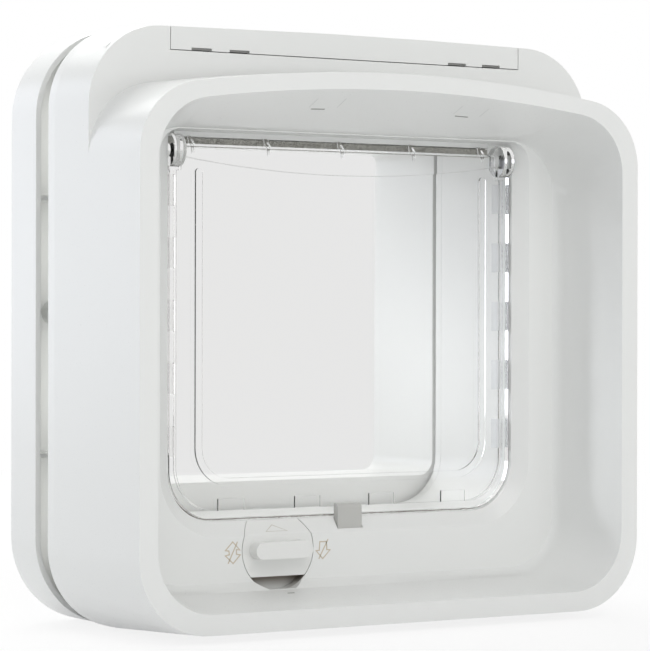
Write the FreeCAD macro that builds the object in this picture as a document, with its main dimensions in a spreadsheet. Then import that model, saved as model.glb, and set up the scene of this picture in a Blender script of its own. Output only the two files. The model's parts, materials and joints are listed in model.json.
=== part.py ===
import FreeCAD, Part
import math
import os
import re
import Sketcher

# Pet door for an opening cut in a door panel. X runs across, depth runs back (+Y) from the
# hood's front rim, and heights are measured from the middle of the height while modelling;
# each finished piece is then placed so that the origin is under the middle of the base.

os.makedirs("parts", exist_ok=True)
doc = FreeCAD.newDocument("CatFlap")
sheet = doc.addObject("Spreadsheet::Sheet", "Sizes")
vector = FreeCAD.Vector

# Driving sizes in millimetres, angles in degrees
sizes = {
    # housing and hood
    "outerWidth": 210,
    "outerHeight": 210,
    "cornerRadius": 29,
    "crownRadius": 3600,
    "shellWall": 2.5,
    "draftAngle": 3,
    "hoodDepth": 34,
    "partingDepth": 57,
    "housingDepth": 62.5,
    "panelGap": 10,
    "frameDepth": 20,
    "sleeveLength": 22,
    "tunnelLength": 40,
    "hoodDrop": 14.4,
    "hoodArch": 556,
    "hoodCorner": 27,
    "rimWidth": 7,
    "rimTop": 5.8,
    "cavityNarrowing": 4.3,
    "floorRise": 3.5,
    "ceilingStep": 0.9,
    "cavityCorner": 21,
    "cavityWall": 2.2,
    "bevelStep": 4,
    "bevelInset": 3,
    "fasciaDepth": 33,
    "fasciaWall": 3.5,
    # door opening and tunnel
    "doorSide": 33,
    "doorSill": 37.6,
    "doorHead": 37,
    "doorCorner": 18,
    "doorHeadCorner": 3,
    "doorArch": 30000,
    "doorBevel": 5,
    "doorBevelDepth": 4,
    "tunnelWall": 2.2,
    "socketGap": 0.8,
    "exitSill": 47.7,
    "exitCorner": 6,
    # battery compartment and its cover
    "coverWidth": 145,
    "coverLip": 9.8,
    "coverPlate": 2.5,
    "coverGap": 0.3,
    "coverSlot": 0.9,
    "slotStart": 41.5,
    "slotLength": 8,
    "slotPitch": 15,
    "coverPinRadius": 1.2,
    "barrelRadius": 3,
    "barrelInset": 1.3,
    "barrelDrop": 0.9,
    "trayFloor": 1.5,
    "cellRadius": 7.1,
    "cellLength": 49.2,
    "cellNub": 1.3,
    "cellNubRadius": 2.7,
    "cellGap": 0.3,
    "contactPlate": 0.5,
    # flap
    "flapGap": 1,
    "flapFront": 37.5,
    "flapDepth": 3.6,
    "flapPlate": 2,
    "flapCorner": 17,
    "flapHeadCorner": 3,
    "finRise": 5.3,
    "finReach": 3.6,
    "windowMargin": 11.6,
    "ridgeWidth": 2.7,
    "ridgeDrop": 6,
    "windowCorner": 12,
    "hingeDrop": 7,
    "hingeDepth": 39.4,
    "hingePinRadius": 2.5,
    "pinGap": 0.06,
    "knuckleWidth": 4.5,
    "knuckleRadius": 5.8,
    "barHeight": 7,
    "barSag": 5.6,
    "ribPitch": 30.4,
    "brushDepth": 1.6,
    "brushReach": 0.8,
    "toothPitch": 31,
    "toothWidth": 10.4,
    "toothRise": 6.8,
    "channelDrop": 1.8,
    "stripDepth": 3.6,
    # lock knob
    "knobRadius": 14.3,
    "knobOffset": 30.3,
    "knobHeight": 27.4,
    "knobDepth": 4.2,
    "knobGap": 0.25,
    "knobFlat": 9.4,
    "shaftLength": 8,
    "knobShaftRadius": 3,
    "gripLength": 23,
    "gripWidth": 6,
    "gripReach": 5,
    "camWall": 2.5,
    "camThrow": 2.2,
    "camDepth": 3,
    "knobSeatWall": 1.6,
    # latches and their drives
    "latchWidth": 10,
    "latchDepth": 3,
    "latchGap": 0.3,
    "latchSkin": 0.8,
    "latchReach": 5,
    "latchTravel": 6.5,
    "latchRound": 2,
    "gearModule": 0.8,
    "pinionTeeth": 14,
    "backlash": 0.16,
    "pinionHeight": 16,
    "motorWidth": 9,
    "motorShaft": 0.95,
    "bracketGap": 2.3,
    "bracketReach": 15,
    "motorHeight": 12,
    "gearboxLength": 8,
    # fixings
    "boardInset": 14,
    "boardBack": 54.6,
    "boardMiddle": -36,
    "boardHalf": 28,
    "boardWall": 1.6,
    "boardWidth": 20,
    "coilWall": 2.8,
    "coilDepth": 2.2,
    "buttonRadius": 3,
    "buttonTravel": 1.2,
    "switchHeight": 14,
    "switchWell": 10,
    "fixingInset": 15,
    "fixingHeight": 110,
    "fixingRadius": 2,
    "headRadius": 3.8,
    "headLength": 2.4,
    "insertRadius": 2.9,
    "insertLength": 7.5,
    "bossWall": 2.2,
    "pillarRadius": 2.5,
    "cornerScrewInset": 12,
    "cornerScrewRadius": 1.45,
    # rear frame
    "frameCorner": 31,
    "frameWall": 2,
    "ribHeight": 45,
    "ribWall": 1.5,
}
for row, (alias, value) in enumerate(sizes.items(), start=1):
    sheet.set(f"A{row}", alias)
    sheet.set(f"B{row}", str(value))
    sheet.setAlias(f"B{row}", alias)
doc.recompute()

# Values worked out from the driving sizes, for use in expressions by name
worked = {
    "doorWidth": "(outerWidth-2*doorSide)",
    "fixingSpan": "(outerWidth-2*fixingInset)",
    "boardX": "(outerWidth/2-boardInset)",
    "knobTopFlat": "(doorSill-knobHeight)",
}
midHeight = "outerHeight/2"
doorLow = "(doorSill-outerHeight/2)"
doorHigh = "(outerHeight/2-doorHead)"
hingeLevel = f"({doorHigh}-hingeDrop)"
fixingLevel = "(fixingHeight-outerHeight/2)"
frameFront = "(housingDepth+panelGap)"
frameBack = "(housingDepth+panelGap+frameDepth)"
tunnelEnd = "(housingDepth+panelGap+frameDepth+tunnelLength)"
sleeveEnd = "(housingDepth+sleeveLength)"
fasciaBack = "(fasciaDepth+fasciaWall)"
coverTop = "(outerHeight/2-coverPlate)"
coverAxisY = "(partingDepth-barrelRadius-barrelInset)"
coverAxisZ = "(outerHeight/2-barrelDrop-barrelRadius)"
trayTop = f"({doorHigh}+tunnelWall+trayFloor)"
cellLow = f"({trayTop}+cellRadius+cellGap)"
cellDepth = f"({fasciaBack}+cellRadius+0.8)"
knobLevel = "(knobHeight-outerHeight/2)"
knobSeatBack = "(fasciaDepth+knobDepth+knobGap+knobSeatWall)"
pinionLevel = "(pinionHeight-outerHeight/2)"
pinionX = "(latchWidth/2-gearModule+gearModule*pinionTeeth/2)"
frontLatchDepth = "(fasciaDepth+latchSkin+latchGap)"
rearLatchDepth = "(flapFront+flapDepth+2*latchGap)"
plateInner = "(housingDepth-shellWall)"
stripFront = "(hingeDepth+finReach+0.4)"
stripReach = "(doorWidth/2-flapGap-knuckleWidth-0.4)"
bracketFront = "(fasciaDepth+latchSkin+latchDepth+2*latchGap+0.1)"
bracketBack = "(flapFront+flapDepth+0.2)"
bracketLeft = "(knobRadius-knobOffset+bracketGap)"
bracketRight = "(latchWidth/2+bracketReach)"
bracketHigh = f"({doorLow}-tunnelWall-1)"
bracketScrewLevel = f"({bracketHigh}-3)"
bracketScrews = (("Left", f"({bracketLeft}+3)"), ("Right", f"({bracketRight}-3)"))


def bound(text):
    """Point every alias in an expression at the sheet."""
    def swap(match):
        name = match[0]
        return bound(worked[name]) if name in worked else "Sizes." + name if name in sizes else name
    return re.sub(r"[a-z][A-Za-z]*", swap, str(text))


def worth(text):
    return float(sheet.evalExpression(bound(text)))


def bind(item, **settings):
    for name, text in settings.items():
        item.setExpression(name.replace("__", "."), bound(text))


def at(item, x, y, z):
    bind(item, Placement__Base__x=x, Placement__Base__y=y, Placement__Base__z=z)


def newBody(name):
    body = doc.addObject("PartDesign::Body", name)
    body.AllowCompound = True
    return body


def newSketch(body, name, role, offset):
    sketch = body.newObject("Sketcher::SketchObject", name)
    plane = next(f for f in body.Origin.OriginFeatures if f.Role == role)
    sketch.AttachmentSupport = (plane, [""])
    sketch.MapMode = "FlatFace"
    sketch.setExpression("AttachmentOffset.Base.z", bound(offset))
    return sketch


def constrain(sketch, kind, *where, size=None):
    if size is None:
        sketch.addConstraint(Sketcher.Constraint(kind, *where))
        return
    index = sketch.addConstraint(Sketcher.Constraint(kind, *where, worth(size)))
    sketch.setExpression(f"Constraints[{index}]", bound(size))


def outline(body, name, depth, half, low, high, lowCorner, highCorner, arch="crownRadius"):
    """A rounded window shape with an arched top edge, in the upright plane at this depth."""
    sketch = newSketch(body, name, "XZ_Plane", f"-({depth})")
    w, b, t = worth(half), worth(low), worth(high)
    rl, rh, ra = worth(lowCorner), worth(highCorner), worth(arch)
    centre = vector(0, t - ra, 0)
    upper = vector(w - rh, t - ra + ((ra - rh) ** 2 - (w - rh) ** 2) ** 0.5, 0)
    slope = FreeCAD.Vector(upper - centre).getAngle(vector(1, 0, 0))
    lower = vector(w - rl, b + rl, 0)
    mirror = lambda p: vector(-p.x, p.y, 0)
    pi, flat = 3.141592653589793, vector(0, 0, 1)
    arc = lambda c, r, start, end: Part.ArcOfCircle(Part.Circle(c, flat, r), start, end)
    line = lambda x1, y1, x2, y2: Part.LineSegment(vector(x1, y1, 0), vector(x2, y2, 0))
    sketch.addGeometry([
        line(-w + rl, b, w - rl, b),
        arc(lower, rl, -pi / 2, 0),
        line(w, lower.y, w, upper.y),
        arc(upper, rh, 0, slope),
        arc(centre, ra, slope, pi - slope),
        arc(mirror(upper), rh, pi - slope, pi),
        line(-w, upper.y, -w, lower.y),
        arc(mirror(lower), rl, pi, 3 * pi / 2),
    ])
    for edge in range(8):
        constrain(sketch, "Tangent", edge, 2, (edge + 1) % 8, 1)
    constrain(sketch, "Horizontal", 0)
    constrain(sketch, "Vertical", 2)
    constrain(sketch, "Vertical", 6)
    constrain(sketch, "PointOnObject", 4, 3, -2)
    constrain(sketch, "DistanceY", -1, 1, 4, 3, size=f"{high}-({arch})")
    constrain(sketch, "Radius", 4, size=arch)
    constrain(sketch, "Radius", 3, size=highCorner)
    constrain(sketch, "Equal", 3, 5)
    constrain(sketch, "Radius", 1, size=lowCorner)
    constrain(sketch, "Equal", 1, 7)
    constrain(sketch, "DistanceX", -1, 1, 2, 1, size=half)
    constrain(sketch, "DistanceX", -1, 1, 6, 1, size=f"-({half})")
    constrain(sketch, "DistanceY", -1, 1, 0, 1, size=low)
    return sketch


def polygon(body, name, role, offset, points):
    """A closed shape of straight edges, each corner placed by two expressions."""
    sketch = newSketch(body, name, role, offset)
    places = [vector(worth(across), worth(along), 0) for across, along in points]
    count = len(points)
    for edge in range(count):
        sketch.addGeometry(Part.LineSegment(places[edge], places[(edge + 1) % count]))
    for edge in range(count):
        constrain(sketch, "Coincident", edge, 2, (edge + 1) % count, 1)
    for edge, (across, along) in enumerate(points):
        constrain(sketch, "DistanceX", -1, 1, edge, 1, size=across)
        constrain(sketch, "DistanceY", -1, 1, edge, 1, size=along)
    return sketch


def pad(body, sketch, length, forward=False, draft=None):
    feature = body.newObject("PartDesign::Pad", sketch.Name + "Pad")
    feature.Profile = sketch
    feature.Reversed = not forward
    bind(feature, Length=length)
    if draft:
        bind(feature, TaperAngle=draft)
    return feature


def pocket(body, sketch, length, forward=False, draft=None):
    feature = body.newObject("PartDesign::Pocket", sketch.Name + "Pocket")
    feature.Profile = sketch
    feature.Reversed = forward
    bind(feature, Length=length)
    if draft:
        bind(feature, TaperAngle=draft)
    return feature


def loft(body, front, back, cut=False):
    kind = "SubtractiveLoft" if cut else "AdditiveLoft"
    feature = body.newObject("PartDesign::" + kind, front.Name + "Loft")
    feature.Profile = front
    feature.Sections = [back]
    return feature


def block(body, name, x, y, z, cut=False):
    """A box between two values on each axis, added to or cut from a body."""
    kind = "SubtractiveBox" if cut else "AdditiveBox"
    feature = body.newObject("PartDesign::" + kind, name)
    bind(feature, Length=f"{x[1]}-({x[0]})", Width=f"{y[1]}-({y[0]})", Height=f"{z[1]}-({z[0]})")
    at(feature, x[0], y[0], z[0])
    return feature


turns = {"x": FreeCAD.Rotation(vector(0, 1, 0), 90), "y": FreeCAD.Rotation(vector(1, 0, 0), -90),
         "z": FreeCAD.Rotation()}


def rod(body, name, axis, x, y, z, radius, length, cut=False):
    """A round bar that starts at a point and runs along +x, +y or +z."""
    kind = "SubtractiveCylinder" if cut else "AdditiveCylinder"
    feature = body.newObject("PartDesign::" + kind, name)
    bind(feature, Radius=radius, Height=length)
    feature.Placement = FreeCAD.Placement(vector(), turns[axis])
    at(feature, x, y, z)
    return feature


def ease(body, radius, chosen):
    """Round the edges whose bounding box passes a test."""
    doc.recompute()
    tip = body.Tip
    names = [f"Edge{number}" for number, edge in enumerate(tip.Shape.Edges, start=1) if chosen(edge.BoundBox)]
    feature = body.newObject("PartDesign::Fillet", radius + "Fillet")
    feature.Base = (tip, names)
    bind(feature, Radius=radius)
    return feature


finished = []


def finish(item, label):
    """Name a sub-part and stand it on the base, centred over the depth."""
    item.Label = label
    bind(item, Placement__Base__y=f"-{tunnelEnd}/2", Placement__Base__z=midHeight)
    finished.append(item)
    return item


def sides(action):
    """Do the same on the left and on the right."""
    for name, sign in (("Left", "-1"), ("Right", "1")):
        action(name, sign)


# Front moulding: sides, hood, fascia and the front of the battery compartment
def frontHousing():
    body = newBody("FrontHousing")
    half, top = "outerWidth/2", "outerHeight/2"
    housing = outline(body, "HousingShape", "partingDepth", half, f"-{top}", top,
                      "cornerRadius", "cornerRadius")
    pad(body, housing, "partingDepth-hoodDepth", forward=True, draft="-draftAngle")
    hoodHigh = f"({top}-hoodDrop)"
    hood = outline(body, "HoodShape", "partingDepth", half, f"-{top}", hoodHigh,
                   "cornerRadius", "hoodCorner", "hoodArch")
    pad(body, hood, "partingDepth", forward=True, draft="-draftAngle")
    inner = outline(body, "HousingHollow", "partingDepth", f"{half}-shellWall", f"-{top}+shellWall",
                    f"{top}-shellWall", "cornerRadius-shellWall", "cornerRadius-shellWall",
                    "crownRadius-shellWall")
    pocket(body, inner, f"partingDepth-{fasciaBack}", forward=True, draft="-draftAngle")
    narrow = "partingDepth*tan(draftAngle)"
    slim = f"(shellWall+(partingDepth-{fasciaBack})*tan(draftAngle))"
    hollow = outline(body, "HoodHollow", fasciaBack, f"{half}-{slim}", f"-{top}+{slim}", f"{hoodHigh}-{slim}",
                     "cornerRadius-shellWall", "hoodCorner-shellWall", "hoodArch-shellWall")
    pocket(body, hollow, f"{fasciaBack}-shellWall", forward=True, draft="-draftAngle")
    rimHalf = f"({half}-{narrow}-rimWidth)"
    rimLow = f"(-{top}+{narrow}+rimWidth)"
    rimHigh = f"({hoodHigh}-{narrow}-rimTop)"
    innerHalf = f"({rimHalf}-cavityNarrowing)"
    innerLow = f"({rimLow}+floorRise)"
    innerHigh = f"({doorHigh}+ceilingStep)"
    bevelStart = "fasciaDepth-bevelStep"
    wallFront = outline(body, "CavityWallFront", "0.5", f"{rimHalf}+cavityWall", f"{rimLow}-cavityWall",
                        f"{rimHigh}+cavityWall", "cavityCorner+cavityWall", "cavityCorner+cavityWall",
                        "hoodArch")
    wallBack = outline(body, "CavityWallBack", fasciaBack, f"{innerHalf}+cavityWall",
                       f"{innerLow}-cavityWall", f"{innerHigh}+cavityWall", "cavityCorner+cavityWall",
                       "cavityCorner+cavityWall", "doorArch")
    loft(body, wallFront, wallBack)
    tube = outline(body, "TunnelTube", fasciaBack, "doorWidth/2+tunnelWall", f"{doorLow}-tunnelWall",
                   f"{doorHigh}+tunnelWall", "doorCorner+tunnelWall", "doorHeadCorner+tunnelWall", "doorArch")
    pad(body, tube, f"partingDepth-{fasciaBack}")
    compartment(body)
    knobSeat(body)
    bracketPillars(body)
    rimShape = outline(body, "CavityFront", "-0.01", rimHalf, rimLow, rimHigh, "cavityCorner",
                       "cavityCorner", "hoodArch")
    midShape = outline(body, "CavityMiddle", bevelStart, innerHalf, innerLow, innerHigh,
                       "cavityCorner", "cavityCorner", "doorArch")
    loft(body, rimShape, midShape, cut=True)
    stepShape = outline(body, "BevelFront", bevelStart, innerHalf, innerLow, innerHigh,
                        "cavityCorner", "cavityCorner", "doorArch")
    backShape = outline(body, "BevelBack", "fasciaDepth", f"{innerHalf}-bevelInset", f"{innerLow}+bevelInset",
                        f"{innerHigh}-ceilingStep/3", "cavityCorner-2", "cavityCorner-2", "doorArch")
    loft(body, stepShape, backShape, cut=True)
    mouthFront = outline(body, "MouthFront", "fasciaDepth-0.01", "doorWidth/2+doorBevel",
                         f"{doorLow}-doorBevel", f"{doorHigh}+ceilingStep/3", "doorCorner+doorBevel",
                         "doorHeadCorner+doorBevel", "doorArch")
    mouthBack = outline(body, "MouthBack", "fasciaDepth+doorBevelDepth", "doorWidth/2", doorLow, doorHigh,
                        "doorCorner", "doorHeadCorner", "doorArch")
    loft(body, mouthFront, mouthBack, cut=True)
    opening = outline(body, "Opening", "fasciaDepth+doorBevelDepth-0.01", "doorWidth/2", doorLow, doorHigh,
                      "doorCorner", "doorHeadCorner", "doorArch")
    pocket(body, opening, "partingDepth-fasciaDepth")
    rod(body, "KnobRecess", "y", "-knobOffset", "fasciaDepth-3.5", "knobHeight-outerHeight/2",
        "knobRadius+knobGap", "knobDepth+knobGap+3.5", cut=True)
    rod(body, "KnobBore", "y", "-knobOffset", "fasciaDepth", "knobHeight-outerHeight/2",
        "knobShaftRadius+0.05", "knobDepth+8", cut=True)
    latchChannel(body)
    hingeBores(body)
    brushChannel(body)
    cornerPillars(body)
    finish(body, "front_housing")


# Tray for the cells, behind the notch above the hood, with the opening that the cover closes
def compartment(body):
    floor = f"({doorHigh}+tunnelWall)"
    wide = "(coverWidth/2+0.7)"
    block(body, "TrayBlock", (f"-{wide}", wide), ("fasciaDepth+1", "partingDepth-2.8"),
          (f"{floor}-0.1", f"{coverTop}-0.1"))
    block(body, "TrayHollow", (f"-{wide}+2.2", f"{wide}-2.2"), (fasciaBack, "partingDepth"),
          (f"{floor}+trayFloor", f"{coverTop}+10"), cut=True)
    block(body, "CoverSeat", ("-coverWidth/2-coverGap", "coverWidth/2+coverGap"),
          ("hoodDepth-1", "partingDepth+1"), (f"{coverTop}-0.1", f"{coverTop}+10"), cut=True)
    block(body, "CoverSwing", ("-coverWidth/2-coverGap", "coverWidth/2+coverGap"),
          (coverAxisY, "partingDepth+1"), (f"{coverAxisZ}-0.3", f"{coverTop}+10"), cut=True)
    block(body, "LipSeat", ("-coverWidth/2-coverGap", "coverWidth/2+coverGap"),
          ("hoodDepth-1", fasciaBack), ("outerHeight/2-coverLip-coverGap", "outerHeight/2+5"), cut=True)

    def ear(name, sign):
        start = f"{sign}*(coverWidth/2+2.3)-2"
        block(body, "Ear" + name, (start, f"{start}+4"), ("partingDepth-7", "partingDepth"),
              (f"{coverTop}-5", f"{coverTop}+0.5"))
    sides(ear)
    rod(body, "CoverPinHole", "x", "-coverWidth/2-2.5", coverAxisY, coverAxisZ, "coverPinRadius+0.05",
        "coverWidth+5", cut=True)
    return body


# Thick pad behind the fascia that the lock knob turns in
def knobSeat(body):
    block(body, "KnobSeat", ("-knobOffset-knobRadius-2", "-knobOffset+knobRadius+2"),
          ("fasciaDepth+1", "fasciaDepth+knobDepth+knobGap+knobSeatWall"),
          (f"{knobLevel}-knobRadius-1.5", f"{doorLow}-0.5"))


# Slots in the sill for the two latches, open below for their racks
def latchChannel(body):
    wide = "(latchWidth/2+latchGap)"
    block(body, "FrontLatchSlot", (f"-{wide}", wide),
          ("fasciaDepth+latchSkin", "fasciaDepth+latchSkin+latchDepth+2*latchGap"),
          ("-outerHeight/2+4", f"{doorLow}+4"), cut=True)
    back = "(flapFront+flapDepth+latchGap)"
    block(body, "RearLatchSlot", (f"-{wide}", wide), (back, f"{back}+latchDepth+2*latchGap"),
          (f"{doorLow}-6", f"{doorLow}+1"), cut=True)
    rod(body, "PinionPocket", "y", pinionX, "fasciaDepth+latchSkin", pinionLevel,
        "gearModule*(pinionTeeth/2+1)+0.4", "latchDepth+2*latchGap", cut=True)


# Short pillars on the back of the fascia that carry the latch bracket
def bracketPillars(body):
    for name, x in bracketScrews:
        rod(body, "BracketPillar" + name, "y", x, f"{fasciaBack}-0.5", bracketScrewLevel, "pillarRadius",
            f"{bracketFront}-{fasciaBack}+0.5")


# Blind bearings in the opening's sides, where the flap's pins snap in
def hingeBores(body):
    reach = "(doorWidth/2+tunnelWall+1)"
    rod(body, "HingeBore", "x", f"-{reach}", "hingeDepth", hingeLevel, "hingePinRadius+pinGap",
        f"2*{reach}", cut=True)


# Bar under the head of the opening that the pile strip hangs from
def brushChannel(body):
    block(body, "BrushChannel", (f"-{stripReach}", stripReach), (stripFront, f"{stripFront}+stripDepth+0.4"),
          (f"{doorHigh}-channelDrop", f"{doorHigh}+0.5"))


corners = [(name, across, up) for name, across, up in
           (("LeftLow", "-1", "-1"), ("LeftHigh", "-1", "1"), ("RightLow", "1", "-1"), ("RightHigh", "1", "1"))]


# Screw pillars in the four corners of the housing
def cornerPillars(body):
    for name, across, up in corners:
        rod(body, "Pillar" + name, "y", f"{across}*(outerWidth/2-cornerScrewInset)", fasciaBack,
            f"{up}*(outerHeight/2-cornerScrewInset)", "cornerScrewRadius+bossWall",
            f"partingDepth-{fasciaBack}")


# Rear cover of the housing, with the short sleeve that reaches into the hole in the panel
def backCover():
    body = newBody("BackCover")
    half, top = "outerWidth/2", "outerHeight/2"
    shape = outline(body, "CoverShape", "partingDepth", half, f"-{top}", top, "cornerRadius", "cornerRadius")
    pad(body, shape, "housingDepth-partingDepth")
    inner = outline(body, "CoverHollow", "partingDepth", f"{half}-shellWall", f"-{top}+shellWall",
                    f"{top}-shellWall", "cornerRadius-shellWall", "cornerRadius-shellWall",
                    "crownRadius-shellWall")
    pocket(body, inner, "housingDepth-partingDepth-shellWall")
    sleeve = outline(body, "Sleeve", "partingDepth", "doorWidth/2+tunnelWall", f"{doorLow}-tunnelWall",
                     f"{doorHigh}+tunnelWall", "doorCorner+tunnelWall", "doorHeadCorner+tunnelWall", "doorArch")
    pad(body, sleeve, f"{sleeveEnd}-partingDepth")

    def fixingBoss(name, sign):
        x = f"{sign}*fixingSpan/2"
        rod(body, "FixingBoss" + name, "y", x, f"{plateInner}-insertLength-1", fixingLevel,
            "insertRadius+bossWall", "insertLength+1.1")
        rod(body, "InsertHole" + name, "y", x, f"{plateInner}-insertLength-1.1", fixingLevel,
            "insertRadius", "insertLength+0.1", cut=True)
        rod(body, "FixingHole" + name, "y", x, "partingDepth-5", fixingLevel,
            "fixingRadius+0.2", "20", cut=True)
    sides(fixingBoss)
    for name, across, up in corners:
        rod(body, "Post" + name, "y", f"{across}*(outerWidth/2-cornerScrewInset)", "partingDepth",
            f"{up}*(outerHeight/2-cornerScrewInset)", "cornerScrewRadius+bossWall", "housingDepth-partingDepth")
    for level in ("-1", "1"):
        name = {"-1": "Low", "1": "High"}[level]
        rod(body, "BoardPost" + name, "y", "boardX", "boardBack", f"boardMiddle+{level}*boardHalf",
            "pillarRadius", f"{plateInner}-boardBack+0.1")
    opening = outline(body, "SleeveOpening", "partingDepth-1", "doorWidth/2", doorLow, doorHigh,
                      "doorCorner", "doorHeadCorner", "doorArch")
    pocket(body, opening, "sleeveLength+20")
    return finish(body, "back_cover")


# Lid of the battery compartment, cut to the housing's own outer shape, with its hinge barrel
def batteryCover():
    body = newBody("BatteryCover")
    top = "outerHeight/2"
    shape = outline(body, "LidShape", "partingDepth", "outerWidth/2", f"-{top}", top, "cornerRadius",
                    "cornerRadius")
    pad(body, shape, "partingDepth-hoodDepth", forward=True, draft="-draftAngle")
    over, wide, across = "(outerHeight/2+5)", "(coverWidth/2)", ("-outerWidth", "outerWidth")
    block(body, "LeftSide", ("-outerWidth", f"-{wide}"), ("0", "housingDepth"), (f"-{over}", over), cut=True)
    block(body, "RightSide", (wide, "outerWidth"), ("0", "housingDepth"), (f"-{over}", over), cut=True)
    block(body, "Under", across, ("0", "housingDepth"), (f"-{over}", "outerHeight/2-coverLip"), cut=True)
    block(body, "Inside", across, ("hoodDepth+2.2", "housingDepth"), (f"-{over}", coverTop), cut=True)
    block(body, "Behind", across, (coverAxisY, "housingDepth"), (f"-{over}", over), cut=True)
    foot = ("outerHeight/2-coverLip-1", "outerHeight/2-coverLip+coverSlot")
    for number in (0, 1):
        start = f"(slotStart+{number}*slotPitch)"
        for side, low in (("Left", f"-{start}-slotLength"), ("Right", start)):
            block(body, f"Slot{side}{number}", (low, f"{low}+slotLength"),
                  ("hoodDepth-1", "hoodDepth+coverPlate"), foot, cut=True)
    barrel = "(coverWidth/2-2)"
    rod(body, "Barrel", "x", f"-{barrel}", coverAxisY, coverAxisZ, "barrelRadius", f"2*{barrel}")
    rod(body, "Pins", "x", f"-{wide}-2.2", coverAxisY, coverAxisZ, "coverPinRadius", "coverWidth+4.4")
    finish(body, "battery_cover")


# Four round cells in two layers of two, end to end, the layers facing opposite ways
def cells():
    for layer in (0, 1):
        for side in (0, 1):
            number = 1 + 2 * layer + side
            body = newBody(f"Cell{number}")
            start = f"({side}-1)*(cellLength+cellNub+cellGap)+cellGap/2"
            z = f"{cellLow}+{layer}*(2*cellRadius+cellGap)"
            can, nub = (start, f"{start}+cellLength") if layer else (f"{start}+cellNub", start)
            rod(body, f"CellCan{number}", "x", can, cellDepth, z, "cellRadius", "cellLength")
            rod(body, f"CellNub{number}", "x", nub, cellDepth, z, "cellNubRadius", "cellNub")
            finish(body, f"battery_{number}")


# End plates that join the cells
def contacts():
    for name, sign in (("left", "-1"), ("right", "1")):
        body = newBody("Contact" + name)
        face = f"{sign}*(cellLength+cellNub+1.5*cellGap)"
        block(body, "Plate" + name,
              (f"{face}+({sign}-1)/2*contactPlate", f"{face}+({sign}+1)/2*contactPlate"),
              (f"{cellDepth}-5", f"{cellDepth}+5"),
              (f"{trayTop}", f"{cellLow}+3*cellRadius-1"))
        finish(body, f"contact_plate_{name}")


# Pairing button on its switch, reached when the cover is open
def learnButton():
    x, seat = "(cellLength+cellNub+7.5)", "(buttonRadius+2)"
    base = newBody("LearnSwitch")
    block(base, "SwitchCase", (f"{x}-{seat}", f"{x}+{seat}"), (f"{cellDepth}-{seat}", f"{cellDepth}+{seat}"),
          (trayTop, f"{trayTop}+switchHeight"))
    rod(base, "SwitchWell", "z", x, cellDepth, f"{trayTop}+switchHeight-switchWell", "buttonRadius+0.2",
        "switchWell+1", cut=True)
    finish(base, "learn_switch")
    cap = newBody("LearnButton")
    rod(cap, "ButtonStem", "z", x, cellDepth, f"{trayTop}+switchHeight-switchWell+buttonTravel+0.2",
        "buttonRadius", "switchWell+buttonTravel")
    finish(cap, "learn_button")


# Control board upright beside the tunnel, with its parts and screws
def board():
    front = "(boardBack-boardWall)"
    plate = newBody("Board")
    block(plate, "BoardPlate", ("boardX-boardWidth/2", "boardX+boardWidth/2"), (front, "boardBack"),
          ("boardMiddle-boardHalf-4", "boardMiddle+boardHalf+4"))
    finish(plate, "circuit_board")
    parts = newBody("BoardParts")
    block(parts, "Chip", ("boardX-5", "boardX+5"), (f"{front}-1.8", front), ("boardMiddle-5", "boardMiddle+5"))
    block(parts, "Plug", ("boardX-6", "boardX+6"), (f"{front}-5", front), ("boardMiddle+10", "boardMiddle+16"))
    rod(parts, "Reservoir", "y", "boardX+2", f"{front}-9", "boardMiddle-14", "4", "9")
    finish(parts, "board_components")


# Reader coil wound round the tunnel
def readerCoil():
    body = newBody("ReaderCoil")
    fit = "(tunnelWall+0.3)"
    around = ["doorWidth/2+{}", f"{doorLow}-{{}}", f"{doorHigh}+{{}}", "doorCorner+{}", "doorHeadCorner+{}",
              "doorArch"]
    ring = lambda grow: [text.format(grow) for text in around]
    pad(body, outline(body, "CoilOuter", "partingDepth-coilDepth-0.1", *ring(f"({fit}+coilWall)")), "coilDepth")
    pocket(body, outline(body, "CoilInner", "partingDepth-coilDepth-1", *ring(fit)), "coilDepth+2")
    finish(body, "reader_coil")


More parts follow.
